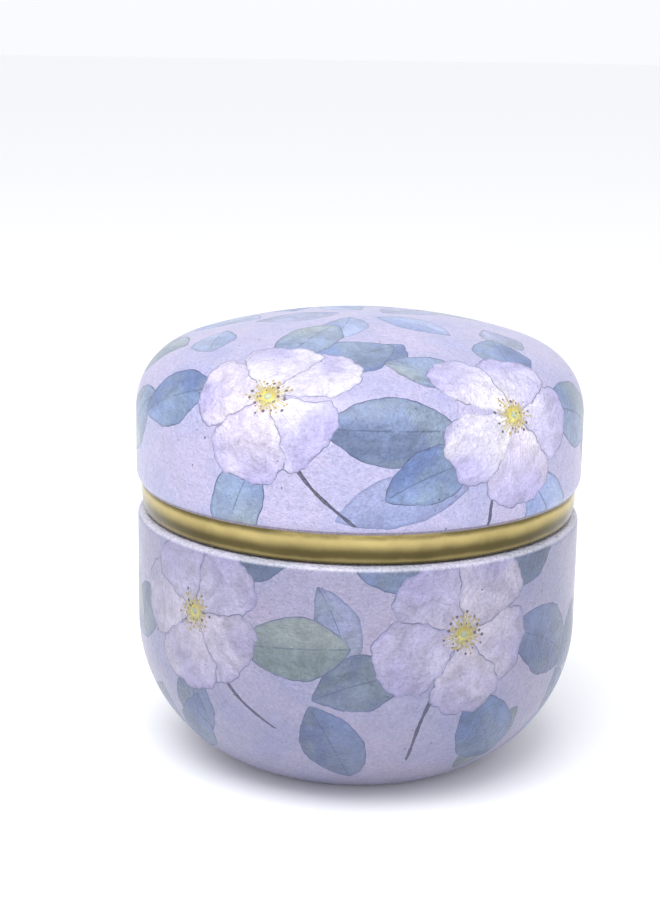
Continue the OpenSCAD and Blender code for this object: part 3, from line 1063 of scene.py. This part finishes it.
# The body's inks are darker than the lid's same print as painted shade, and its shoulder band is
# paled as rubbed print and a painted highlight
body_finish = printed_tin("printed_body_tin", 0.60, RIM_Z, 0.95, (232, 230, 242), 0.60)
inside_finish = gold("gold_lacquer_inside", (186, 163, 106), 0.30, 0.42)
# The ring's colour carries painted shade: a dark reflection below the bead and a shadow under the
# lid's lip
ring_finish = gold("gold_ring_lacquer", (195, 177, 118), 0.18, 0.26, lines=1.0, painted_shade=0.82)


# ---------------------------------------------------------------- pieces

lid = Skin()
ends = lay_print(lid, lid_chart, lid_art, 0)
lip_end = lid.run(lip_edge, 0, first=ends["outer"])
lid.run(lid_in, 1, first=lip_end)
lid_print = lid.piece("lid_print", [lid_finish, inside_finish])
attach(lid_print, "lid")
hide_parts("lid_shell")

body = Skin()
ends = lay_print(body, body_chart, body_art, 0)
body.run(body_in, 0, first=ends["outer"])
body.run(body_up, 1, last=ends["inner"])
body_print = body.piece("body_print", [body_finish, inside_finish])
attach(body_print, "base")
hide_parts("body_shell")

neck = Skin()
top_ring = neck.ring(*ring.on(ring.parts[0], 0.0)[:2])
neck.run(ring, 0, first=top_ring, last=top_ring, line_step=3.0, arc_step=8.0)
neck_piece = neck.piece("gold_neck_ring", [ring_finish], printed=False)
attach(neck_piece, "base")
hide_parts("neck_ring")


# ---------------------------------------------------------------- stage, light and camera

def plain_material(name, colour, roughness):
    n = Nodes(name)
    n.put(n.surface.inputs["Base Color"], (*colour, 1))
    n.surface.inputs["Roughness"].default_value = roughness
    return n.material


FLOOR_HALF = 3.0
floor_mesh = bpy.data.meshes.new("floor")
floor_mesh.from_pydata([(-FLOOR_HALF, -FLOOR_HALF, 0), (FLOOR_HALF, -FLOOR_HALF, 0),
                        (FLOOR_HALF, FLOOR_HALF, 0), (-FLOOR_HALF, FLOOR_HALF, 0)], [],
                       [(0, 1, 2, 3)])
floor_mesh.materials.append(plain_material("pale_floor", (0.95, 0.955, 0.96), 0.8))
floor = bpy.data.objects.new("floor", floor_mesh)
bpy.context.collection.objects.link(floor)

bpy.context.scene.view_settings.view_transform = "Standard"

world = bpy.data.worlds.new("studio")
world.use_nodes = True
world.node_tree.nodes["Background"].inputs[0].default_value = (0.96, 0.965, 1.0, 1)
world.node_tree.nodes["Background"].inputs[1].default_value = 1.0
bpy.context.scene.world = world


def softbox(name, position, target, size, watts):
    light = bpy.data.lights.new(name, "AREA")
    light.shape = "RECTANGLE"
    light.size, light.size_y = size
    light.energy = watts
    made = bpy.data.objects.new(name, light)
    made.location = position
    aim = Vector(target) - Vector(position)
    made.rotation_euler = aim.to_track_quat("-Z", "Y").to_euler()
    made.visible_camera = False
    bpy.context.collection.objects.link(made)


LIT_POINT = (0, 0, 0.045)
softbox("overhead", (-0.10, -0.25, 0.56), LIT_POINT, (0.50, 0.34), 2.6)
softbox("front", (0.0, -0.85, 0.17), LIT_POINT, (1.50, 0.10), 1.5)

# The camera looks slightly down on the tin, 350 mm from the split between lid and body
DISTANCE = 0.350
LOOK_DOWN = math.radians(13.79)
ROLL = 0.015
AIM_HEIGHT = 0.0505
AIM_OFFSET = (0.00514, -0.00439)
LENS = 77.20
SENSOR = 36.0
forward = Vector((0, math.cos(LOOK_DOWN), -math.sin(LOOK_DOWN)))
right = Vector((1, 0, 0))
upward = right.cross(forward)
rolled_right = math.cos(ROLL) * right + math.sin(ROLL) * upward
rolled_up = -math.sin(ROLL) * right + math.cos(ROLL) * upward
camera_data = bpy.data.cameras.new("camera")
camera_data.lens = LENS
camera_data.sensor_width = SENSOR
camera = bpy.data.objects.new("camera", camera_data)
camera.matrix_world = Matrix((
    (rolled_right.x, rolled_up.x, -forward.x, 0),
    (rolled_right.y, rolled_up.y, -forward.y, 0),
    (rolled_right.z, rolled_up.z, -forward.z, 0),
    (0, 0, 0, 1)))
camera.location = (Vector((0, 0, AIM_HEIGHT)) - DISTANCE * forward
                   - AIM_OFFSET[0] * rolled_right - AIM_OFFSET[1] * rolled_up)
bpy.context.collection.objects.link(camera)
bpy.context.scene.camera = camera
